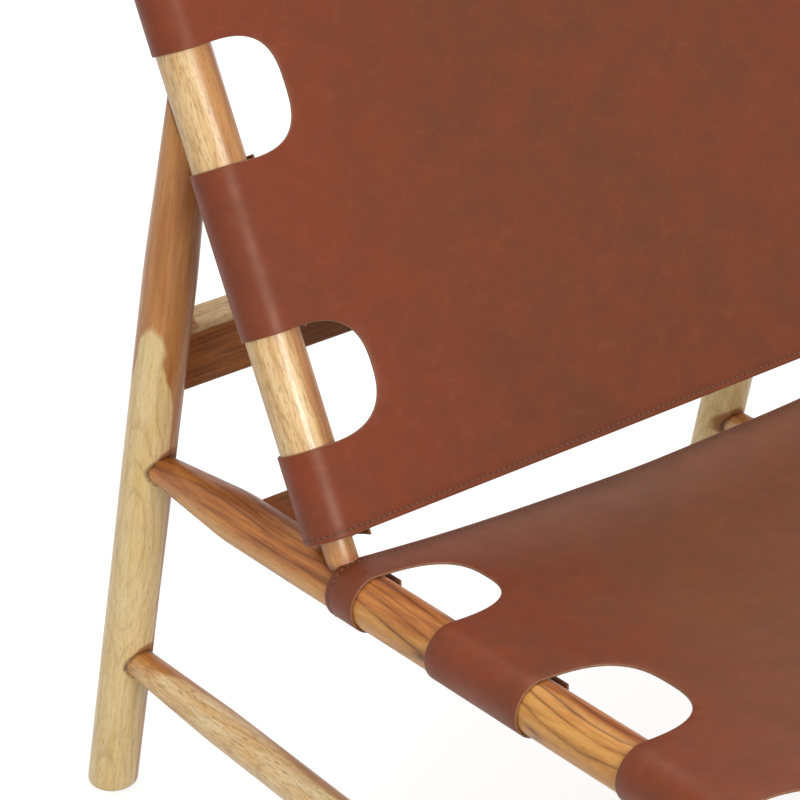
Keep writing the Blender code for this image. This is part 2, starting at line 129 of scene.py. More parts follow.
# Unevenness of the wood, the stains round its joints, and the dark line where members meet, partly
# painted shade
SWELL_SHARE = 0.007
SWELL_LENGTH = 0.075
SWELL_SHIFT = 10
LEVEL_LENGTH = 0.070
GRAIN_SHIFTS = (0.37, 0.61, 0.83)
RING_WANDER = 0.022
RING_LENGTH = 0.150
RING_SHIFT = 0.5
STAIN_REACH = 0.015
STAIN_LEAST_SHARE = 0.45
JOINT_LINE_AND_SHADE_REACH = 0.0045

# Cut edges, hems and stitches of the leather
RIM_ROUND = 0.0007
MITRE_LEAST_SHARE = 0.5
RIPPLE = 0.0009
RIPPLE_LENGTH = 0.090
SEAM_FROM_EDGE = 0.0045
SEAM_HALF_WIDTH = 0.0013
SEAM_DEPTH = 0.0004
STITCH_PITCH = 0.0050
STITCH_LENGTH = 0.0037
THREAD_R = 0.00055
STITCH_HOLE_SHARE = 0.22

# Rings of a stitch: shares of its length from its middle, and of the thread's radius in size and lift
STITCH_RINGS = [
    (-0.5, 0.35, -0.6),
    (-0.36, 0.9, 0.1),
    (0.0, 1.0, 0.5),
    (0.36, 0.9, 0.1),
    (0.5, 0.35, -0.6),
]

# Noise in the wood: its features' sizes twice across and once along the grain, then detail,
# roughness and distortion
WARP = ((0.020, 0.020, 0.060), 3.0, 0.55)
WAVER = ((0.022, 0.022, 0.150), 2.0, 0.5)
WOOD_PATCHES = ((0.012, 0.012, 0.080), 3.0, 0.55, 0.4)
STREAKS = ((0.0032, 0.0032, 0.070), 4.0, 0.62)
BOLD_STREAKS = ((0.0038, 0.0038, 0.046), 4.0, 0.60, 0.5)
FLECKS = ((0.0013, 0.0013, 0.0085), 2.0, 0.55)
FINE_LINES = ((0.0011, 0.0011, 0.024), 3.0, 0.6)
WOOD_PORES = ((0.0006, 0.0006, 0.009), 1.0)
BLOTS = ((0.009, 0.009, 0.012), 3.0, 0.6)
HEART_WARP = 0.008
RING_WAVER = 0.012
STAIN_UNEVEN_SHARE = 0.35

# Strength of a growth line from one ring to the next, and its least share in faint patches
GROWTH_LINE = [(0.0, 1.0), (0.07, 0.25), (0.30, 0.0), (0.80, 0.20), (1.0, 1.0)]
FAINT_SHARE = 0.25

# Noise in the leather, thread and brass: sizes, detail, roughness and distortion
CLOUDS = ((0.130, 0.130, 0.130), 2.0, 0.5, 0.4)
HIDE_PATCHES = ((0.035, 0.035, 0.035), 3.0, 0.55)
BLOTCHES = ((0.016, 0.011, 0.012), 4.0, 0.62, 0.6)
SPECKS = ((0.0035, 0.0035, 0.0035), 3.0, 0.6)
HIDE_PORES = ((0.0009, 0.0009, 0.0009), 2.0, 0.5)
TWIST = ((0.0008, 0.0003, 0.0003), 1.0)
WEAR = ((0.002, 0.002, 0.002), 2.0)
REDDENING_FROM = 0.31
REDDENING_TO = 0.46
REDDENING_WANDER = 0.35

# Shine, as the roughness from the smoothest to the roughest places, and reflection
WOOD_ROUGHNESS = (0.27, 0.42)
STAIN_DULLING = 0.35
HIDE_ROUGHNESS = (0.40, 0.53)
FLESH_ROUGHNESS = 0.9
HIDE_GLOSS = 0.43
THREAD_ROUGHNESS = 0.6
BRASS_ROUGHNESS = (0.28, 0.45)

# Relief of the surfaces: its strength, its height, and the weight of each pattern in it
WOOD_EMBOSSING = 0.50
WOOD_RELIEF = 0.0006
STREAK_WEIGHT = 0.7
FINE_WEIGHT = 0.3
HIDE_EMBOSSING = 0.16
HIDE_RELIEF = 0.0004
PORE_WEIGHT = 0.6
SPECK_WEIGHT = 0.6
PATCH_WEIGHT = 12.0

LEATHER_R = MEMBER_R + GAP + LEATHER_T / 2
BACK_PIECES = [BACK_OUTER_LOOP, BACK_NOTCH, BACK_MIDDLE_LOOP, BACK_NOTCH, BACK_OUTER_LOOP]
BACK_HEIGHT = sum(BACK_PIECES)
SEAT_PIECES = [
    SEAT_STRAP,
    SEAT_OUTER_NOTCH,
    SEAT_LOOP,
    SEAT_MIDDLE_NOTCH,
    SEAT_LOOP,
    SEAT_OUTER_NOTCH,
    SEAT_STRAP,
]

# How far a loop's edge has moved along the member at half a turn and at the loop's end
STRAIGHT = (0.0, 0.0)
FLARED = (0.0, LOOP_FLARE)
DRAWN = (0.0, -BACK_LOOP_DRAW)
SLANTED = (-BACK_LOOP_DRAW * math.pi / LOOP_TURN, -BACK_LOOP_DRAW)

# Cut-outs: depth, power of the tip's curve, skew, bulge, and the loops' edges below and above
BACK_SHAPES = [
    (BACK_NOTCH_DEPTH, LOWER_NOTCH_POWER, 0.0, LOWER_NOTCH_BULGE, DRAWN, FLARED),
    (BACK_NOTCH_DEPTH, UPPER_NOTCH_POWER, 0.0, UPPER_NOTCH_BULGE, FLARED, SLANTED),
]
OUTER_SHAPE = (OUTER_NOTCH_DEPTH, SEAT_NOTCH_POWER, SEAT_NOTCH_SKEW, 0.0)
MIDDLE_SHAPE = (MIDDLE_NOTCH_DEPTH, SEAT_NOTCH_POWER, SEAT_NOTCH_SKEW, 0.0)
SEAT_SHAPES = [
    (*OUTER_SHAPE, STRAIGHT, FLARED),
    (*MIDDLE_SHAPE, FLARED, FLARED),
    (*OUTER_SHAPE, FLARED, STRAIGHT),
]

SIDES = {"left": -1, "right": 1}
ACROSS = Vector((1.0, 0.0, 0.0))


# Places in the plane of a side frame, each a vector (0, y, z)

def forward(angle):
    """Unit vector that points to the chair's front and rises by the angle."""
    return Vector((0.0, -math.cos(angle), math.sin(angle)))


def upward(lean):
    """Unit vector that points up and leans by the angle, towards +Y if positive."""
    return Vector((0.0, math.sin(lean), math.cos(lean)))


def meet(point, direction, other, other_direction):
    """Where two lines in the plane of a side frame cross."""
    span = other - point
    cross = direction.y * other_direction.z - direction.z * other_direction.y
    reach = (span.y * other_direction.z - span.z * other_direction.y) / cross
    return point + direction * reach


LEG_DIR = upward(-REAR_LEG_LEAN)
RAIL_DIR = forward(SEAT_RAIL_RISE)
STRETCHER_DIR = forward(-STRETCHER_DROP)
POST_DIR = upward(POST_LEAN)
FRONT_LEG_DIR = upward(0.0)
ROUND_LOSS_SHARE = 1 - math.tan(math.pi / 4 - REAR_LEG_LEAN / 2)
FOOT_HALF_DEPTH = MEMBER_R / math.cos(REAR_LEG_LEAN) - END_ROUND * ROUND_LOSS_SHARE
RAIL_JOINT_FORWARD = RAIL_JOINT_UP_LEG * math.sin(REAR_LEG_LEAN)
RAIL_FORWARD = (POST_FROM_REAR_LEG + FRONT_LEG_FROM_POST) * math.cos(SEAT_RAIL_RISE)
DEPTH = FOOT_HALF_DEPTH + RAIL_JOINT_FORWARD + RAIL_FORWARD + MEMBER_R
REAR_FOOT = Vector((0.0, DEPTH / 2 - FOOT_HALF_DEPTH, 0.0))
STRETCHER_REAR = REAR_FOOT + LEG_DIR * STRETCHER_JOINT_UP_LEG
RAIL_REAR = REAR_FOOT + LEG_DIR * RAIL_JOINT_UP_LEG
POST_FOOT = RAIL_REAR + RAIL_DIR * POST_FROM_REAR_LEG
RAIL_FRONT = POST_FOOT + RAIL_DIR * FRONT_LEG_FROM_POST
FRONT_FOOT = Vector((0.0, RAIL_FRONT.y, 0.0))
STRETCHER_FRONT = meet(STRETCHER_REAR, STRETCHER_DIR, FRONT_FOOT, FRONT_LEG_DIR)
LEG_TOP = meet(REAR_FOOT, LEG_DIR, POST_FOOT, POST_DIR)
UPPER_RAIL_CENTRE = REAR_FOOT + LEG_DIR * UPPER_RAIL_UP_LEG
LOWER_RAIL_CENTRE = POST_FOOT - RAIL_DIR * LOWER_RAIL_BEHIND_POST
FRONT_RAIL_CENTRE = RAIL_FRONT - FRONT_LEG_DIR * FRONT_RAIL_BELOW_SEAT_RAIL
POST_FRONT = Vector((0.0, -POST_DIR.z, POST_DIR.y))
RAIL_TOP = Vector((0.0, RAIL_DIR.z, -RAIL_DIR.y))


# Materials

def srgb(red, green, blue):
    """Linear colour of a display colour on a scale of 0 to 255."""
    linear = []
    for value in (red, green, blue):
        share = value / 255
        linear.append(share / 12.92 if share < 0.04045 else ((share + 0.055) / 1.055) ** 2.4)
    return (*linear, 1.0)


def shader_of(name):
    material = bpy.data.materials.new(name)
    material.use_nodes = True
    return material, material.node_tree, material.node_tree.nodes["Principled BSDF"]


def node(tree, kind, inputs, **settings):
    """Add a shader node; each input is a value or another node's output."""
    made = tree.nodes.new("ShaderNode" + kind)
    for key, value in settings.items():
        setattr(made, key, value)
    for key, value in inputs.items():
        if isinstance(value, bpy.types.NodeSocket):
            tree.links.new(value, made.inputs[key])
        else:
            made.inputs[key].default_value = value
    return made


def computed(tree, operation, *values):
    return node(tree, "Math", dict(enumerate(values)), operation=operation).outputs[0]


def total(tree, a, b):
    return computed(tree, "ADD", a, b)


def product(tree, a, b):
    return computed(tree, "MULTIPLY", a, b)


def swing(tree, pattern, size):
    """A noise pattern turned into a value that swings about zero."""
    return product(tree, computed(tree, "SUBTRACT", pattern, 0.5), size)


def ranged(tree, value, low, high, to_low=0.0, to_high=1.0):
    """The value taken from one range to another, and held at its ends."""
    inputs = {"Value": value, "From Min": low, "From Max": high, "To Min": to_low, "To Max": to_high}
    return node(tree, "MapRange", inputs).outputs[0]


def mixed(tree, share, a, b):
    return node(tree, "Mix", {0: share, 6: a, 7: b}, data_type="RGBA").outputs[2]


def layered(tree, colour, pattern, over, low, high, share):
    """Lay a colour over another where the pattern goes from low to high, up to the share."""
    return mixed(tree, ranged(tree, pattern, low, high, to_high=share), colour, over)


def attribute(tree, name):
    return node(tree, "Attribute", {}, attribute_name=name)


def noise_of(tree, vector, sizes, detail, roughness=0.5, distortion=0.0):
    """Noise whose features have the given sizes."""
    scale = tuple(1 / size for size in sizes)
    stretched = node(tree, "VectorMath", {0: vector, 1: scale}, operation="MULTIPLY").outputs[0]
    inputs = {
        "Vector": stretched,
        "Scale": 1.0,
        "Detail": detail,
        "Roughness": roughness,
        "Distortion": distortion,
    }
    return node(tree, "TexNoise", inputs).outputs[0]


def ramp(tree, value, stops):
    """The value taken through a curve of straight pieces, given by its stops."""
    made = node(tree, "ValToRGB", {0: value})
    elements = made.color_ramp.elements
    while len(elements) < len(stops):
        elements.new(0.5)
    for element, (position, level) in zip(elements, stops):
        element.position = position
        element.color = (level, level, level, 1.0)
    return made.outputs[0]


def roughness_of(tree, pattern, least_and_most):
    """Roughness that follows a noise pattern from the least to the most."""
    least, most = least_and_most
    return ranged(tree, pattern, low=0.3, high=0.7, to_low=least, to_high=most)


def emboss(tree, shader, relief, strength, distance):
    """Let the shading follow a relief of the given height."""
    bump = node(tree, "Bump", {"Strength": strength, "Distance": distance, "Height": relief})
    tree.links.new(bump.outputs[0], shader.inputs["Normal"])


def wood_material(
    name, sapwood, heartwood, line, streak_share, fleck_share, line_share, ring_spacing, edge, gloss
):
    """Oiled wood with pale sapwood, darker heartwood, growth lines, flecks, pores, joint stains, and a
    dark line where members meet that is partly a joint line and partly painted shade.
    """
    material, tree, shader = shader_of(name)
    grain = attribute(tree, "grain").outputs["Vector"]
    ring = attribute(tree, "ring").outputs["Fac"]
    heart = attribute(tree, "heart").outputs["Fac"]
    stain = attribute(tree, "stain").outputs["Fac"]
    joint_line_and_shade = attribute(tree, "joint_line_and_shade").outputs["Fac"]
    patches = noise_of(tree, grain, *WOOD_PATCHES)
    streaks = noise_of(tree, grain, *STREAKS)
    bold = noise_of(tree, grain, *BOLD_STREAKS)
    flecks = noise_of(tree, grain, *FLECKS)
    fine = noise_of(tree, grain, *FINE_LINES)
    pores = noise_of(tree, grain, *WOOD_PORES)

    inside = total(tree, heart, swing(tree, noise_of(tree, grain, *WARP), HEART_WARP))
    heart_share = ranged(tree, inside, -edge, edge)
    tone = ranged(tree, total(tree, patches, streaks), low=0.78, high=1.22)
    colour = mixed(tree, heart_share, mixed(tree, tone, *sapwood), mixed(tree, tone, *heartwood))
    colour = layered(tree, colour, bold, heartwood[1], low=0.50, high=0.64, share=streak_share)
    colour = layered(tree, colour, flecks, line, low=0.54, high=0.66, share=fleck_share)

    bent = total(tree, ring, product(tree, noise_of(tree, grain, *WAVER), RING_WAVER))
    phase = computed(tree, "FRACT", product(tree, bent, 1 / ring_spacing))
    least_share = FAINT_SHARE * line_share
    visible = ranged(tree, patches, low=0.35, high=0.65, to_low=least_share, to_high=line_share)
    colour = mixed(tree, product(tree, ramp(tree, phase, GROWTH_LINE), visible), colour, line)
    colour = layered(tree, colour, fine, line, low=0.50, high=0.74, share=0.22)
    colour = layered(tree, colour, pores, line, low=0.64, high=0.74, share=0.40)

    uneven = swing(tree, noise_of(tree, grain, *BLOTS), STAIN_UNEVEN_SHARE)
    spread = total(tree, stain, uneven)
    depth = total(tree, joint_line_and_shade, uneven)
    colour = layered(tree, colour, spread, srgb(158, 88, 38), low=0.42, high=0.60, share=0.85)
    colour = layered(tree, colour, spread, srgb(84, 42, 18), low=0.72, high=0.96, share=0.60)
    # Darker in a narrow band where members meet: partly a dark joint line, partly painted shade
    colour = layered(tree, colour, depth, srgb(78, 40, 18), low=0.42, high=0.92, share=0.78)
    tree.links.new(colour, shader.inputs["Base Color"])

    dulling = product(tree, stain, STAIN_DULLING)
    rough = total(tree, roughness_of(tree, streaks, WOOD_ROUGHNESS), dulling)
    tree.links.new(rough, shader.inputs["Roughness"])
    shader.inputs["Specular IOR Level"].default_value = gloss
    coarse_relief = product(tree, streaks, STREAK_WEIGHT)
    relief = total(tree, coarse_relief, product(tree, fine, FINE_WEIGHT))
    emboss(tree, shader, relief, WOOD_EMBOSSING, WOOD_RELIEF)
    return material


def leather_material(name, plain, ruddy):
    """Smooth dyed leather, redder at the members, with a suede flesh side, and cut edges painted paler:
    partly their raw colour, partly a painted highlight.
    """
    material, tree, shader = shader_of(name)
    hide = attribute(tree, "hide").outputs["Vector"]
    rim = attribute(tree, "rim").outputs["Fac"]
    flesh = attribute(tree, "flesh").outputs["Fac"]
    seam = attribute(tree, "seam").outputs["Fac"]
    clouds = noise_of(tree, hide, *CLOUDS)
    patches = noise_of(tree, hide, *HIDE_PATCHES)
    blotches = noise_of(tree, hide, *BLOTCHES)
    specks = noise_of(tree, hide, *SPECKS)
    pores = noise_of(tree, hide, *HIDE_PORES)

    across = node(tree, "SeparateXYZ", {"Vector": hide}).outputs[0]
    tone = ranged(tree, total(tree, clouds, patches), low=0.80, high=1.20)
    wander = product(tree, clouds, REDDENING_WANDER)
    from_middle = total(tree, computed(tree, "ABSOLUTE", across), wander)
    redness = ranged(tree, from_middle, REDDENING_FROM, REDDENING_TO)
    colour = mixed(tree, redness, mixed(tree, tone, *plain), mixed(tree, tone, *ruddy))
    colour = layered(tree, colour, blotches, srgb(88, 44, 27), low=0.50, high=0.72, share=0.26)
    colour = layered(tree, colour, blotches, srgb(152, 88, 58), low=0.46, high=0.26, share=0.16)
    colour = layered(tree, colour, specks, srgb(98, 43, 24), low=0.35, high=0.75, share=0.25)
    colour = layered(tree, colour, pores, srgb(80, 36, 20), low=0.52, high=0.70, share=0.18)

    from_hole = computed(tree, "PINGPONG", product(tree, across, 1 / STITCH_PITCH), 0.5)
    in_hole = computed(tree, "SUBTRACT", 1.0, computed(tree, "DIVIDE", from_hole, STITCH_HOLE_SHARE))
    holes = product(tree, in_hole, seam)
    colour = mixed(tree, product(tree, seam, 0.45), colour, srgb(70, 34, 20))
    colour = layered(tree, colour, holes, srgb(58, 30, 14), low=0.05, high=0.35, share=0.55)
    colour = mixed(tree, flesh, colour, mixed(tree, specks, srgb(112, 64, 42), srgb(146, 96, 66)))
    # Cut edges paler: partly the raw edge's own colour, partly a painted highlight where the edges catch
    # the light
    colour = mixed(tree, rim, colour, mixed(tree, specks, srgb(104, 66, 46), srgb(160, 114, 84)))
    tree.links.new(colour, shader.inputs["Base Color"])

    inputs = {0: flesh, 2: roughness_of(tree, patches, HIDE_ROUGHNESS), 3: FLESH_ROUGHNESS}
    rough = node(tree, "Mix", inputs, data_type="FLOAT").outputs[0]
    tree.links.new(rough, shader.inputs["Roughness"])
    shader.inputs["Specular IOR Level"].default_value = HIDE_GLOSS
    shader.inputs["Specular Tint"].default_value = srgb(255, 236, 216)
    fine_relief = product(tree, specks, SPECK_WEIGHT)
    relief = total(tree, product(tree, pores, PORE_WEIGHT), fine_relief)
    relief = total(tree, relief, product(tree, patches, PATCH_WEIGHT))
    emboss(tree, shader, relief, HIDE_EMBOSSING, HIDE_RELIEF)
    return material


def thread_material(name):
    """Waxed thread with a fine twist."""
    material, tree, shader = shader_of(name)
    twist = noise_of(tree, attribute(tree, "hide").outputs["Vector"], *TWIST)
    tree.links.new(mixed(tree, twist, srgb(98, 54, 34), srgb(132, 80, 52)), shader.inputs["Base Color"])
    shader.inputs["Roughness"].default_value = THREAD_ROUGHNESS
    return material


def brass_material(name):
    """Brass that has dulled unevenly."""
    material, tree, shader = shader_of(name)
    wear = noise_of(tree, node(tree, "TexCoord", {}).outputs["Object"], *WEAR)
    colour = mixed(tree, wear, srgb(148, 118, 66), srgb(190, 158, 98))
    tree.links.new(colour, shader.inputs["Base Color"])
    rough = roughness_of(tree, wear, BRASS_ROUGHNESS)
    tree.links.new(rough, shader.inputs["Roughness"])
    shader.inputs["Metallic"].default_value = 1.0
    return material


# Meshes

def add_piece(name, bm, material, replaced, attributes):
    """Turn a bmesh into a smooth piece that stands for solids of the frame."""
    bmesh.ops.recalc_face_normals(bm, faces=bm.faces[:])
    mesh = bpy.data.meshes.new(name)
    bm.to_mesh(mesh)
    bm.free()
    mesh.shade_smooth()
    mesh.set_sharp_from_angle(angle=SHARP_ANGLE)
    mesh.materials.append(material)
    for key, values in attributes.items():
        if isinstance(values[0], float):
            layer = mesh.attributes.new(key, "FLOAT", "POINT")
            layer.data.foreach_set("value", values)
        else:
            layer = mesh.attributes.new(key, "FLOAT_VECTOR", "POINT")
            layer.data.foreach_set("vector", [part for value in values for part in value])
    obj = bpy.data.objects.new(name, mesh)
    bpy.context.scene.collection.objects.link(obj)
    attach(obj, "root")
    if replaced:
        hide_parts(replaced)
    return obj


def join_rings(bm, rings):
    """Skin a run of equal rings of points and close its two ends."""
    count = len(rings[0])
    for low, high in zip(rings, rings[1:]):
        for i in range(count):
            j = (i + 1) % count
            bm.faces.new((low[i], low[j], high[j], high[i]))
    bm.faces.new(rings[0][::-1])
    bm.faces.new(rings[-1])


def at_side(place, side):
    """The same place in the left or right side frame."""
    return Vector((side * FRAME_HALF_SPACING, place.y, place.z))


def between(start, end, spacing):
    """Evenly spaced distances from start up to, but not at, the end."""
    count = max(1, math.ceil((end - start) / spacing))
    return [start + (end - start) * i / count for i in range(count)]


def taper(start, length, radius, full_radius):
    """Profile points of a cone that eases into the full radius."""
    points = [(start, radius)]
    for i in range(EASE_STEPS + 1):
        share = 1 + TAPER_EASE_SHARE * (2 * i / EASE_STEPS - 1)
        short_share = (1 + TAPER_EASE_SHARE - share) ** 2 / (4 * TAPER_EASE_SHARE)
        points.append((start + share * length, full_radius - (full_radius - radius) * short_share))
    return points


def mirrored(profile, end):
    """The profile turned end for end, so that its zero lies at the given end."""
    return [(end - distance, radius) for distance, radius in reversed(profile)]


def rounded_end(end, radius, rounding):
    """Profile points of an end with a rounded edge."""
    points = []
    for i in range(ROUND_STEPS + 1):
        angle = i / ROUND_STEPS * math.pi / 2
        height = end - rounding + rounding * math.sin(angle)
        points.append((height, radius - rounding + rounding * math.cos(angle)))
    return points


def filled_in(profile):
    """The same profile with a ring at every spacing."""
    points = []
    for (low, low_r), (high, high_r) in zip(profile, profile[1:]):
        for height in between(low, high, RING_SPACING):
            share = (height - low) / (high - low)
            points.append((height, low_r + (high_r - low_r) * share))
    return points + [profile[-1]]


def stain_at(spot, mates):
    """Stain by the members that join here, more so above and inside, and the dark line where they meet,
    partly a joint line and partly painted shade.
    """
    stain = joint_line_and_shade = 0.0
    for place, direction, radius, one_way in mates:
        reach = (spot - place).dot(direction)
        if one_way:
            reach = max(0.0, reach)
        away = spot - place - direction * reach
        gap = abs(away.length - radius)
        inner_top = Vector((-math.copysign(1.0, place.x), 0.0, 1.0)).normalized()
        lean = max(0.0, away.normalized().dot(inner_top))
        strength = STAIN_LEAST_SHARE + (1 - STAIN_LEAST_SHARE) * lean
        stain = max(stain, (1 - gap / STAIN_REACH) * strength)
        joint_line_and_shade = max(joint_line_and_shade, 1 - gap / JOINT_LINE_AND_SHADE_REACH)
    return stain, joint_line_and_shade


def figure_at(offset, height, figure, seed):
    """Depth inside the heartwood and position along the growth rings."""
    angle, knots = figure
    out = offset.dot(Vector((math.cos(angle), math.sin(angle))))
    level = knots[-1][1]
    for (low, low_level), (high, high_level) in zip(knots, knots[1:]):
        if low <= height < high:
            share = (height - low) / (high - low)
            level = low_level + (high_level - low_level) * share * share * (3 - 2 * share)
    if height < knots[0][0]:
        level = knots[0][1]
    wander = RING_WANDER * noise.noise(Vector((seed, seed * RING_SHIFT, height / RING_LENGTH)))
    return level - out, out + wander


class WoodMesh:
    """Rings of points along a member, with what its material reads at each point."""

    def __init__(self, figure, mates, seed):
        self.figure = figure
        self.mates = mates
        self.seed = seed
        self.offset = Vector([seed * shift for shift in GRAIN_SHIFTS])
        self.bm = bmesh.new()
        self.rings = []
        self.values = {"grain": [], "ring": [], "heart": [], "stain": [], "joint_line_and_shade": []}

    def add_ring(self, points):
        """Add a ring of points, each with its place in the section and its distance along."""
        ring = []
        for spot, (u, v), along in points:
            ring.append(self.bm.verts.new(spot))
            heart, ring_place = figure_at(Vector((u, v)), along, self.figure, self.seed)
            stain, joint_line_and_shade = stain_at(spot, self.mates)
            self.values["grain"].append(Vector((u, v, along)) + self.offset)
            self.values["ring"].append(ring_place)
            self.values["heart"].append(heart)
            self.values["stain"].append(stain)
            self.values["joint_line_and_shade"].append(joint_line_and_shade)
        self.rings.append(ring)

    def finish(self, node_name, material):
        join_rings(self.bm, self.rings)
        add_piece(f"{node_name}_wood", self.bm, material, node_name, self.values)


def limb(name, place, direction, profile, wood, mates, seed, level_foot=False):
    """Round member along a line, slightly uneven as hand-shaped wood is."""
    material, figure = wood
    mesh = WoodMesh(figure, mates, seed)
    depth = direction.cross(ACROSS)
    for height, radius in filled_in(profile):
        points = []
        for i in range(LIMB_SIDES):
            angle = 2 * math.pi * i / LIMB_SIDES
            across, away = math.cos(angle), math.sin(angle)
            sample = Vector((across, away, height / SWELL_LENGTH)) + mesh.offset * SWELL_SHIFT
            size = radius * (1 + SWELL_SHARE * noise.noise(sample))
            spot = place + direction * height + (ACROSS * across + depth * away) * size
            if level_foot:
                share = max(0.0, 1 - height / LEVEL_LENGTH)
                spot -= direction * (depth.z * away * size / direction.z * share)
            points.append((spot, (across * size, away * size), height))
        mesh.add_ring(points)
    mesh.finish(name, material)


def bar_section(width):
    """Outline of a flat rail's section with eased edges, as (width, thickness) pairs."""
    points = []
    wide = width / 2 - CROSS_RAIL_EDGE
    thick = CROSS_RAIL_THICKNESS / 2 - CROSS_RAIL_EDGE
    corners = [(wide, thick), (-wide, thick), (-wide, -thick), (wide, -thick)]
    for i, (u, v) in enumerate(corners):
        for step in range(EDGE_STEPS + 1):
            angle = (i + step / EDGE_STEPS) * math.pi / 2
            points.append((u + CROSS_RAIL_EDGE * math.cos(angle), v + CROSS_RAIL_EDGE * math.sin(angle)))
        far_u, far_v = corners[(i + 1) % len(corners)]
        side = Vector((far_u - u, far_v - v))
        end = Vector(points[-1])
        for distance in (CROSS_RAIL_EDGE / 2, side.length / 2, side.length - CROSS_RAIL_EDGE / 2):
            points.append(tuple(end + side.normalized() * distance))
    return points


def flat_rail(name, centre, width_dir, width, wood, mates, seed):
    """Flat rail across the chair, housed in two round members."""
    material, figure = wood
    mesh = WoodMesh(figure, mates, seed)
    thick_dir = width_dir.cross(ACROSS)
    half_length = FRAME_HALF_SPACING - CROSS_RAIL_END_INSET
    section = bar_section(width)
    for x in between(-half_length, half_length, BAR_RING_SPACING) + [half_length]:
        middle = centre + ACROSS * x
        mesh.add_ring([(middle + width_dir * u + thick_dir * v, (u, v), x) for u, v in section])
    mesh.finish(name, material)


# Leather slings: a flat pattern in (across, along) that is bent round the members

class Sling:
    """Bends a flat pattern: flat or sagging between the members, wrapped round them."""

    def __init__(self, base, along, normal, sag, start, pieces, shapes, start_flare):
        self.base = base
        self.along = along
        self.normal = normal
        self.start = start
        self.end = start + sum(pieces)
        self.slope = math.atan2(2 * sag, FRAME_HALF_SPACING)
        self.half_panel = FRAME_HALF_SPACING - LEATHER_R * math.sin(self.slope)
        self.sag = self.half_panel * math.tan(self.slope) / 2
        self.turn = LOOP_TURN + self.slope
        self.half_width = self.half_panel + self.turn * LEATHER_R
        self.outline = self.pattern(pieces, shapes, start_flare)

    def section(self, across, offset):
        """Place of a pattern point in the plane square to the members."""
        side = math.copysign(1.0, across)
        reach = abs(across)
        if reach <= self.half_panel:
            share = reach / self.half_panel
            lift = LEATHER_R * math.cos(self.slope) - self.sag * (1 - share * share)
            tilt = math.atan(math.tan(self.slope) * share)
            x = reach - offset * math.sin(tilt)
            return side * x, lift + offset * math.cos(tilt)
        turned = (reach - self.half_panel) / LEATHER_R
        angle = math.pi / 2 + self.slope - turned
        tack_turn = 3 * math.pi / 2 + self.slope + TACK_ANGLE
        tail_share = max(0.0, (turned - tack_turn) / (self.turn - tack_turn))
        radius = LEATHER_R + offset + TAIL_LIFT * tail_share ** 2
        return side * (FRAME_HALF_SPACING + radius * math.cos(angle)), radius * math.sin(angle)

    def place(self, across, along, offset):
        x, lift = self.section(across, offset)
        if abs(across) < self.half_panel:
            calm = 1 - (across / self.half_panel) ** 2
            sample = Vector((across, along, self.sag)) / RIPPLE_LENGTH
            lift += RIPPLE * calm * noise.noise(sample)
        spot = self.base + self.along * along + self.normal * lift
        return Vector((x, spot.y, spot.z))

    def loop_edge(self, station, bends):
        """One edge of a loop from the panel to its end, bent at half a turn and at the end."""
        half_turn_bend, end_bend = bends
        return [
            (self.half_panel + NOTCH_EASE, station),
            (self.half_panel + LEATHER_R * math.pi, station + half_turn_bend),
            (self.half_width, station + end_bend),
        ]

    def notch(self, low, high, shape):
        """Outline of one cut-out, from the loop's end in to the rounded tip and back."""
        depth, power, skew, bulge, bends_below, bends_above = shape
        middle = (low + high) / 2
        half = (high - low) / 2
        tip = []
        for i in range(NOTCH_POINTS + 1):
            angle = math.pi * (i / NOTCH_POINTS - 0.5)
            run = max(0.0, math.cos(angle)) ** (2 / power)
            rise = math.copysign(abs(math.sin(angle)) ** (2 / power), angle)
            along = middle + (half + bulge * run) * rise - skew * run
            tip.append((self.half_panel - depth * run, along))
        loop_below = self.loop_edge(low, bends_below)
        loop_above = self.loop_edge(high, [-bend for bend in bends_above])
        return loop_below[::-1] + tip + loop_above

    def pattern(self, pieces, shapes, start_flare):
        """Closed outline of the flat pattern, from loop and notch lengths in turn."""
        right = [(self.half_panel, self.start)] + self.loop_edge(self.start, (0.0, -start_flare))
        station = self.start
        for i, length in enumerate(pieces):
            if i % 2:
                right += self.notch(station, station + length, shapes[i // 2])
            station += length
        right += self.loop_edge(station, FLARED)[::-1] + [(self.half_panel, station)]
        left = [(-across, along) for across, along in reversed(right)]
        return [Vector(point) for point in right + left]

    def area(self):
        """Area of the flat pattern."""
        doubled = 0.0
        for a, b in zip(self.outline, self.outline[1:] + self.outline[:1]):
            doubled += a.x * b.y - b.x * a.y
        return abs(doubled) / 2

    def seams(self):
        """How far along the pattern its two rows of stitches run."""
        return [self.start + SEAM_FROM_EDGE, self.end - SEAM_FROM_EDGE]


def outward(before, spot, after):
    """Mitred outward normal of a corner of an outline that runs anticlockwise."""
    first = (spot - before).normalized()
    second = (after - spot).normalized()
    normal = Vector((first.y + second.y, -first.x - second.x)).normalized()
    square = Vector((first.y, -first.x))
    return normal / max(MITRE_LEAST_SHARE, normal.dot(square))


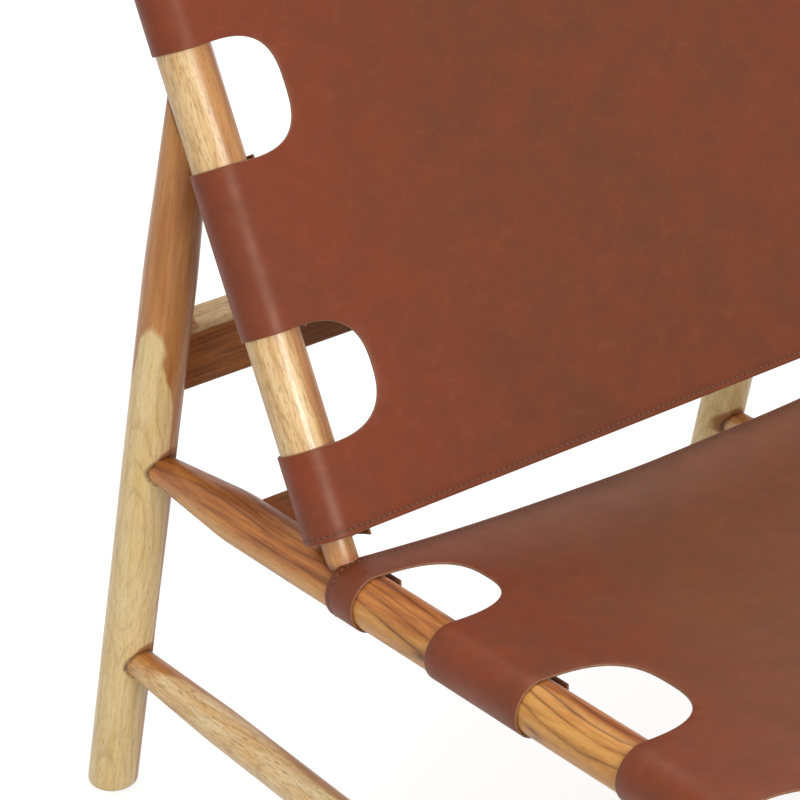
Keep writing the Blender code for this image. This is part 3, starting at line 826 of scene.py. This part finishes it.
def flat_sheet(sling):
    """The pattern a rim's width inside its outline, sliced along its bend lines."""
    flat = bmesh.new()
    points = sling.outline
    corners = []
    for i, point in enumerate(points):
        step = outward(points[i - 1], point, points[(i + 1) % len(points)])
        inset = point - step * RIM_ROUND
        corners.append(flat.verts.new((inset.x, inset.y, 0.0)))
    flat.faces.new(corners)
    columns = between(0.0, sling.half_panel, PANEL_STEP)
    columns += between(sling.half_panel, sling.half_width, WRAP_STEP * LEATHER_R)
    columns += [-line for line in columns if line]
    rows = between(sling.start, sling.end, ROW_STEP)[1:]
    for seam in sling.seams():
        rows = [row for row in rows if abs(row - seam) > 2 * SEAM_HALF_WIDTH]
        rows += [seam - SEAM_HALF_WIDTH, seam, seam + SEAM_HALF_WIDTH]
    cuts = [((line, 0.0, 0.0), (1.0, 0.0, 0.0)) for line in columns]
    cuts += [((0.0, line, 0.0), (0.0, 1.0, 0.0)) for line in rows]
    for place, normal in cuts:
        geometry = flat.verts[:] + flat.edges[:] + flat.faces[:]
        bmesh.ops.bisect_plane(flat, geom=geometry, plane_co=place, plane_no=normal)
    bmesh.ops.triangulate(flat, faces=[face for face in flat.faces if len(face.verts) > 4])
    bmesh.ops.recalc_face_normals(flat, faces=flat.faces[:])
    if sum(face.normal.z for face in flat.faces) < 0:
        bmesh.ops.reverse_faces(flat, faces=flat.faces[:])
    flat.verts.index_update()
    return flat


def rim_profile():
    """Steps round the cut edge as (outward, offset from the mid-surface) pairs."""
    steps = []
    for i in range(RIM_STEPS + 1):
        angle = i / RIM_STEPS * math.pi / 2
        out = RIM_ROUND * math.sin(angle)
        steps.append((out, LEATHER_T / 2 - RIM_ROUND * (1 - math.cos(angle))))
    return steps + [(out, -offset) for out, offset in reversed(steps)]


def sling_piece(name, sling, material):
    """Leather with a grain side, a flesh side and a rounded cut edge all round."""
    flat = flat_sheet(sling)
    bm = bmesh.new()
    hide, rims, fleshes, seams = [], [], [], []

    def add(across, along, offset, rim, flesh):
        seam = 0.0
        for line in sling.seams():
            seam = max(seam, 1 - abs(along - line) / SEAM_HALF_WIDTH)
        dip = SEAM_DEPTH * seam * (1 - rim) * math.copysign(1.0, offset)
        hide.append((across, along, offset))
        rims.append(rim)
        fleshes.append(flesh)
        seams.append(seam * (1 - rim))
        return bm.verts.new(sling.place(across, along, offset - dip))

    steps = rim_profile()
    grain_side = [add(v.co.x, v.co.y, steps[0][1], 0.0, 0.0) for v in flat.verts]
    flesh_side = [add(v.co.x, v.co.y, steps[-1][1], 0.0, 1.0) for v in flat.verts]
    for face in flat.faces:
        ids = [vert.index for vert in face.verts]
        bm.faces.new([grain_side[i] for i in ids])
        bm.faces.new([flesh_side[i] for i in reversed(ids)])

    ahead = {}
    for edge in flat.edges:
        if edge.is_boundary:
            loop = edge.link_loops[0]
            ahead[loop.vert.index] = loop.link_loop_next.vert.index
    behind = {after: before for before, after in ahead.items()}
    flat.verts.ensure_lookup_table()
    rim_verts = {}
    for index, after in ahead.items():
        spots = [flat.verts[i].co.xy for i in (behind[index], index, after)]
        step = outward(*spots)
        chain = [grain_side[index]]
        for out, offset in steps[1:-1]:
            spot = spots[1] + step * out
            chain.append(add(spot.x, spot.y, offset, 1.0, 0.0))
        rim_verts[index] = chain + [flesh_side[index]]
    for index, after in ahead.items():
        here, there = rim_verts[index], rim_verts[after]
        for i in range(len(here) - 1):
            bm.faces.new((here[i], here[i + 1], there[i + 1], there[i]))
    flat.free()
    attributes = {"hide": hide, "rim": rims, "flesh": fleshes, "seam": seams}
    return add_piece(f"{name}_leather", bm, material, name, attributes)


def stitched(name, sling, material):
    """Rows of stitches along both hems, on each side of the leather."""
    bm = bmesh.new()
    hide = []
    for station in sling.seams():
        for face in (1, -1):
            reach = sling.half_width if face > 0 else sling.half_panel
            count = math.floor(reach / STITCH_PITCH)
            for i in range(-count, count):
                stitch(bm, hide, sling, (i + 0.5) * STITCH_PITCH, station, face)
    return add_piece(name, bm, material, None, {"hide": hide})


def stitch(bm, hide, sling, centre, station, face):
    """One stitch: a short thread that rises out of the leather and dips back in."""
    surface = LEATHER_T / 2 - SEAM_DEPTH
    rings = []
    for run_share, size_share, lift_share in STITCH_RINGS:
        ring = []
        for i in range(THREAD_SIDES):
            angle = 2 * math.pi * i / THREAD_SIDES
            across = centre + run_share * STITCH_LENGTH
            along = station + THREAD_R * size_share * math.cos(angle)
            lift = THREAD_R * (lift_share + size_share * math.sin(angle))
            ring.append(bm.verts.new(sling.place(across, along, face * (surface + lift))))
            hide.append((across, along, lift))
        rings.append(ring)
    join_rings(bm, rings)


# The wooden frame

# A figure is the side that the sapwood is on, as an angle in the member's section, and how far
# from the axis the heartwood reaches there at each height; the flat rails' figure and the post's foot
# also paint light and shade
LEG_FIGURE = (math.radians(206.0), [
    (0.0, 0.0000), (0.08, 0.0010), (0.20, -0.0010), (0.30, 0.0010), (0.335, 0.0050), (0.385, 0.0074),
    (0.443, 0.0162), (0.476, 0.0200), (0.53, 0.0300),
])
FRONT_LEG_FIGURE = (math.radians(200.0), [(0.0, 0.0120), (0.12, 0.0060), (0.24, 0.0140), (0.36, 0.0060)])
# The post's foot, up to the first two heights, is all heartwood: darker partly in its own colour and
# partly as painted shade under the hem
POST_FIGURE = (math.radians(196.0), [
    (0.0, 0.0300), (0.055, 0.0300), (0.085, 0.0050), (0.16, 0.0050), (0.25, 0.0070), (0.32, 0.0098),
    (0.39, 0.0085), (0.46, 0.0050),
])
RAIL_FIGURE = (math.radians(195.0), [
    (0.0, 0.0112), (0.06, 0.0150), (0.10, 0.0178), (0.20, 0.0186), (0.27, 0.0168), (0.33, 0.0140),
    (0.39, 0.0050), (0.48, -0.0040), (0.60, -0.0020), (0.75, 0.0080),
])
STRETCHER_FIGURE = (math.radians(172.0), [
    (0.0, 0.0130), (0.045, 0.0100), (0.08, 0.0010), (0.15, -0.0040), (0.24, 0.0020), (0.40, -0.0030),
    (0.60, 0.0030),
])
# Sapwood only along the edge on the width's side: the upper and front rails' top edges are painted paler
# as painted light on their lit tops, and the lower rail's front edge is paler too
FLAT_FIGURE_PAINTED_LIT_EDGE = (0.0, [(-0.3, 0.0250), (-0.1, 0.0260), (0.1, 0.0235), (0.3, 0.0260)])


# Woods: colours from pale to dark, shares of the marks, and the heartwood's edge
HONEY_WOOD = {
    "sapwood": (srgb(250, 223, 168), srgb(239, 206, 140)),
    "heartwood": (srgb(214, 150, 86), srgb(186, 118, 60)),
    "line": srgb(154, 106, 54),
    "streak_share": 0.08,
    "fleck_share": 0.16,
    "line_share": 0.34,
    "ring_spacing": 0.0060,
    "edge": 0.0007,
    "gloss": 0.36,
}
GOLDEN_WOOD = {
    "sapwood": (srgb(240, 206, 148), srgb(216, 170, 104)),
    "heartwood": (srgb(200, 138, 70), srgb(156, 94, 40)),
    "line": srgb(142, 92, 40),
    "streak_share": 0.24,
    "fleck_share": 0.54,
    "line_share": 0.34,
    "ring_spacing": 0.0055,
    "edge": 0.0025,
    "gloss": 0.80,
}
AMBER_WOOD = {
    "sapwood": (srgb(232, 172, 92), srgb(210, 140, 64)),
    "heartwood": (srgb(214, 138, 68), srgb(160, 86, 38)),
    "line": srgb(100, 50, 20),
    "streak_share": 0.12,
    "fleck_share": 0.12,
    "line_share": 0.95,
    "ring_spacing": 0.0080,
    "edge": 0.0020,
    "gloss": 0.36,
}
TAN_WOOD = {
    "sapwood": (srgb(252, 226, 178), srgb(242, 196, 132)),
    "heartwood": (srgb(220, 156, 90), srgb(190, 118, 58)),
    "line": srgb(144, 94, 42),
    "streak_share": 0.20,
    "fleck_share": 0.46,
    "line_share": 0.40,
    "ring_spacing": 0.0055,
    "edge": 0.0020,
    "gloss": 0.36,
}
# Its pale sapwood shows only along the flat rails' edges, where it is painted light on the lit tops
BROWN_WOOD = {
    "sapwood": (srgb(246, 216, 168), srgb(228, 192, 140)),
    "heartwood": (srgb(176, 106, 44), srgb(130, 74, 28)),
    "line": srgb(84, 44, 16),
    "streak_share": 0.45,
    "fleck_share": 0.30,
    "line_share": 0.60,
    "ring_spacing": 0.0060,
    "edge": 0.0010,
    "gloss": 0.14,
}


def mate(place, direction, side, radius=MEMBER_R, one_way=False):
    """A round member that another joins; one_way if it starts at the place."""
    return at_side(place, side), direction, radius, one_way


def rear_leg(name, side, wood, seed):
    length = (LEG_TOP - REAR_FOOT).length
    profile = mirrored(rounded_end(0.0, MEMBER_R, END_ROUND), 0.0)
    profile += mirrored(taper(0.0, LEG_TOP_TAPER, LEG_TOP_R, MEMBER_R), length)
    mates = [
        mate(RAIL_REAR, RAIL_DIR, side, RAIL_NECK_R, True),
        mate(STRETCHER_REAR, STRETCHER_DIR, side, STRETCHER_NECK_R, True),
        mate(POST_FOOT, POST_DIR, side),
    ]
    foot = at_side(REAR_FOOT, side)
    limb(f"rear_leg_{name}", foot, LEG_DIR, profile, (wood, LEG_FIGURE), mates, seed, level_foot=True)


def front_leg(name, side, wood, seed):
    top = RAIL_FRONT.z + FRONT_LEG_ABOVE_RAIL
    profile = mirrored(rounded_end(0.0, MEMBER_R, END_ROUND), 0.0)
    profile += rounded_end(top, MEMBER_R, END_ROUND)
    mates = [
        mate(RAIL_FRONT, -RAIL_DIR, side, RAIL_NECK_R, True),
        mate(STRETCHER_FRONT, -STRETCHER_DIR, side, STRETCHER_NECK_R, True),
    ]
    foot = at_side(FRONT_FOOT, side)
    limb(f"front_leg_{name}", foot, FRONT_LEG_DIR, profile, (wood, FRONT_LEG_FIGURE), mates, seed)


def back_post(name, side, wood, seed):
    top = BACK_BOTTOM + BACK_HEIGHT + POST_ABOVE_LEATHER
    profile = [(-TENON_PAST_AXIS, POST_NECK_R)]
    profile += taper(POST_NECK_LENGTH, POST_TAPER, POST_NECK_R, MEMBER_R)
    profile += rounded_end(top, MEMBER_R, POST_TOP_ROUND)
    mates = [mate(POST_FOOT, RAIL_DIR, side)]
    foot = at_side(POST_FOOT, side)
    limb(f"back_post_{name}", foot, POST_DIR, profile, (wood, POST_FIGURE), mates, seed)


def spindle_profile(length, radius, neck_radius, rear_taper, front_taper):
    """Profile of a member that tapers into a neck at each end and runs on into two legs."""
    shoulder = MEMBER_R + NECK_OUT_OF_LEG
    profile = [(-TENON_PAST_AXIS, neck_radius)]
    profile += taper(shoulder, rear_taper, neck_radius, radius)
    profile += mirrored(taper(shoulder, front_taper, neck_radius, radius), length)
    return profile + [(length + TENON_PAST_AXIS, neck_radius)]


def seat_rail(name, side, wood, seed):
    length = (RAIL_FRONT - RAIL_REAR).length
    profile = spindle_profile(length, MEMBER_R, RAIL_NECK_R, RAIL_TAPER, RAIL_FRONT_TAPER)
    mates = [
        mate(REAR_FOOT, LEG_DIR, side),
        mate(FRONT_FOOT, FRONT_LEG_DIR, side),
        mate(POST_FOOT, POST_DIR, side, POST_NECK_R, True),
    ]
    rear = at_side(RAIL_REAR, side)
    limb(f"seat_rail_{name}", rear, RAIL_DIR, profile, (wood, RAIL_FIGURE), mates, seed)


def side_stretcher(name, side, wood, seed):
    length = (STRETCHER_FRONT - STRETCHER_REAR).length
    profile = spindle_profile(length, STRETCHER_R, STRETCHER_NECK_R, STRETCHER_TAPER, STRETCHER_TAPER)
    mates = [mate(REAR_FOOT, LEG_DIR, side), mate(FRONT_FOOT, FRONT_LEG_DIR, side)]
    rear = at_side(STRETCHER_REAR, side)
    limb(f"side_stretcher_{name}", rear, STRETCHER_DIR, profile, (wood, STRETCHER_FIGURE), mates, seed)


def make_frame():
    """The wooden frame; the seeds count up from 1, the two sides of one kind of member together."""
    leg_wood = wood_material("honey_wood", **HONEY_WOOD)
    members = [
        (rear_leg, leg_wood),
        (front_leg, leg_wood),
        (back_post, wood_material("golden_wood", **GOLDEN_WOOD)),
        (seat_rail, wood_material("amber_wood", **AMBER_WOOD)),
        (side_stretcher, wood_material("tan_wood", **TAN_WOOD)),
    ]
    for first_seed, (name, side) in enumerate(SIDES.items(), start=1):
        for i, (make_member, wood) in enumerate(members):
            make_member(name, side, wood, first_seed + i * len(SIDES))

    flat_wood = (wood_material("brown_wood", **BROWN_WOOD), FLAT_FIGURE_PAINTED_LIT_EDGE)
    rails = [
        ("upper_back_rail", UPPER_RAIL_CENTRE, LEG_DIR, CROSS_RAIL_WIDTH, REAR_FOOT, LEG_DIR),
        ("lower_back_rail", LOWER_RAIL_CENTRE, RAIL_DIR, LOWER_RAIL_WIDTH, RAIL_REAR, RAIL_DIR),
        ("front_rail", FRONT_RAIL_CENTRE, FRONT_LEG_DIR, CROSS_RAIL_WIDTH, FRONT_FOOT, FRONT_LEG_DIR),
    ]
    first_seed = 1 + len(members) * len(SIDES)
    for seed, (name, centre, width_dir, width, holder, holder_dir) in enumerate(rails, start=first_seed):
        mates = [mate(holder, holder_dir, side) for side in SIDES.values()]
        flat_rail(name, centre, width_dir, width, flat_wood, mates, seed)


# The slings and their tacks

# Leathers: two shades for the plain middle and two for the ruddy sides
BACK_LEATHER = {
    "plain": (srgb(116, 51, 21), srgb(101, 48, 23)),
    "ruddy": (srgb(129, 50, 21), srgb(115, 49, 23)),
}
SEAT_LEATHER = {
    "plain": (srgb(121, 65, 35), srgb(108, 61, 37)),
    "ruddy": (srgb(130, 54, 24), srgb(116, 53, 26)),
}


def make_slings():
    """Both slings, each a stretched sheet with its stitches."""
    back_leather = leather_material("back_leather", **BACK_LEATHER)
    seat_leather = leather_material("seat_leather", **SEAT_LEATHER)
    thread = thread_material("waxed_thread")
    back = Sling(
        POST_FOOT, POST_DIR, POST_FRONT, 0.0, BACK_BOTTOM, BACK_PIECES, BACK_SHAPES, BACK_HEM_FLARE
    )
    seat = Sling(
        POST_FOOT, RAIL_DIR, RAIL_TOP, SEAT_SAG, SEAT_REAR, SEAT_PIECES, SEAT_SHAPES, LOOP_FLARE
    )
    slings = [("back", back, "back_post", back_leather), ("seat", seat, "seat_rail", seat_leather)]
    for name, sling, holder, leather in slings:
        sheet = sling_piece(f"{name}_sling", sling, leather)
        seams = stitched(f"{name}_stitches", sling, thread)
        sling.area()


def make_tacks():
    """The tacks stay as they are packed, in brass."""
    brass = brass_material("aged_brass")
    for name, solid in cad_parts.items():
        if "_tack_" in name:
            solid.data.materials.clear()
            solid.data.materials.append(brass)


# Floor, light and camera

WHITE = (1.0, 1.0, 1.0, 1.0)
FLOOR_GREY = (0.50, 0.50, 0.50, 1.0)
FLOOR_HALF_SIZE = 60.0
FLOOR_ROUGHNESS = 0.9
FLOOR_GLOW = 0.73
WORLD_STRENGTH = 0.50
LAMP_AIM = Vector((0.0, 0.1, 0.4))

# Lamps: name, place, diameter and power
LAMPS = [
    ("front_softbox", (-0.8, -3.4, 1.9), 1.8, 82.0),
    ("side_softbox", (-3.0, -0.4, 1.9), 3.0, 14.0),
    ("top_softbox", (0.3, 0.8, 3.2), 2.6, 26.0),
]

# The camera, with its lens and sensor in millimetres
CAMERA_PLACE = Vector((-1.6435, -1.5953, 1.6300))
CAMERA_TURN = math.radians(38.6417)
CAMERA_DOWN = math.radians(27.9793)
CAMERA_ROLL = math.radians(0.1646)
CAMERA_LENS = 161.136
CAMERA_SENSOR = 36.0
CLIP_START = 0.05
CLIP_END = 200.0


def seen_directly(tree):
    """1 for rays from the camera, or off or through something shiny, else 0."""
    ray = node(tree, "LightPath", {})
    shiny = computed(tree, "MAXIMUM", ray.outputs["Is Glossy Ray"], ray.outputs["Is Transmission Ray"])
    return computed(tree, "MAXIMUM", ray.outputs["Is Camera Ray"], shiny)


def make_floor():
    """Pale floor that holds the shadow, and glows to the camera as a white backdrop would."""
    bm = bmesh.new()
    bmesh.ops.create_grid(bm, x_segments=1, y_segments=1, size=FLOOR_HALF_SIZE)
    mesh = bpy.data.meshes.new("floor")
    bm.to_mesh(mesh)
    bm.free()
    material, tree, shader = shader_of("pale_floor")
    shader.inputs["Base Color"].default_value = FLOOR_GREY
    shader.inputs["Roughness"].default_value = FLOOR_ROUGHNESS
    shader.inputs["Specular IOR Level"].default_value = 0.0
    shader.inputs["Emission Color"].default_value = WHITE
    glow = product(tree, seen_directly(tree), FLOOR_GLOW)
    tree.links.new(glow, shader.inputs["Emission Strength"])
    mesh.materials.append(material)
    floor = bpy.data.objects.new("floor", mesh)
    bpy.context.scene.collection.objects.link(floor)


def make_light():
    """White surroundings of even strength, and three softboxes."""
    world = bpy.data.worlds.new("studio")
    world.use_nodes = True
    bpy.context.scene.world = world
    tree = world.node_tree
    tree.nodes.clear()
    strength = ranged(tree, seen_directly(tree), 0.0, 1.0, to_low=WORLD_STRENGTH)
    light = node(tree, "Background", {"Color": WHITE, "Strength": strength})
    node(tree, "OutputWorld", {"Surface": light.outputs[0]})
    for name, place, size, power in LAMPS:
        lamp = bpy.data.lights.new(name, "AREA")
        lamp.shape = "DISK"
        lamp.size = size
        lamp.energy = power
        obj = bpy.data.objects.new(name, lamp)
        obj.location = place
        obj.rotation_mode = "QUATERNION"
        obj.rotation_quaternion = (LAMP_AIM - Vector(place)).to_track_quat("-Z", "Y")
        bpy.context.scene.collection.objects.link(obj)


def make_camera():
    """Camera at the viewing angle that was fitted to the frame's straight edges."""
    ahead = Vector((
        math.sin(CAMERA_TURN) * math.cos(CAMERA_DOWN),
        math.cos(CAMERA_TURN) * math.cos(CAMERA_DOWN),
        -math.sin(CAMERA_DOWN),
    ))
    right = Vector((math.cos(CAMERA_TURN), -math.sin(CAMERA_TURN), 0.0))
    up = right.cross(ahead)
    tilted_right = right * math.cos(CAMERA_ROLL) + up * math.sin(CAMERA_ROLL)
    tilted_up = up * math.cos(CAMERA_ROLL) - right * math.sin(CAMERA_ROLL)
    data = bpy.data.cameras.new("camera")
    data.sensor_width = CAMERA_SENSOR
    data.lens = CAMERA_LENS
    data.clip_start = CLIP_START
    data.clip_end = CLIP_END
    camera = bpy.data.objects.new("camera", data)
    camera.matrix_world = Matrix.Translation(CAMERA_PLACE) @ Matrix(
        (tilted_right, tilted_up, -ahead)
    ).transposed().to_4x4()
    bpy.context.scene.collection.objects.link(camera)
    bpy.context.scene.camera = camera


make_frame()
make_slings()
make_tacks()
make_floor()
make_light()
make_camera()
bpy.context.scene.view_settings.view_transform = "Standard"
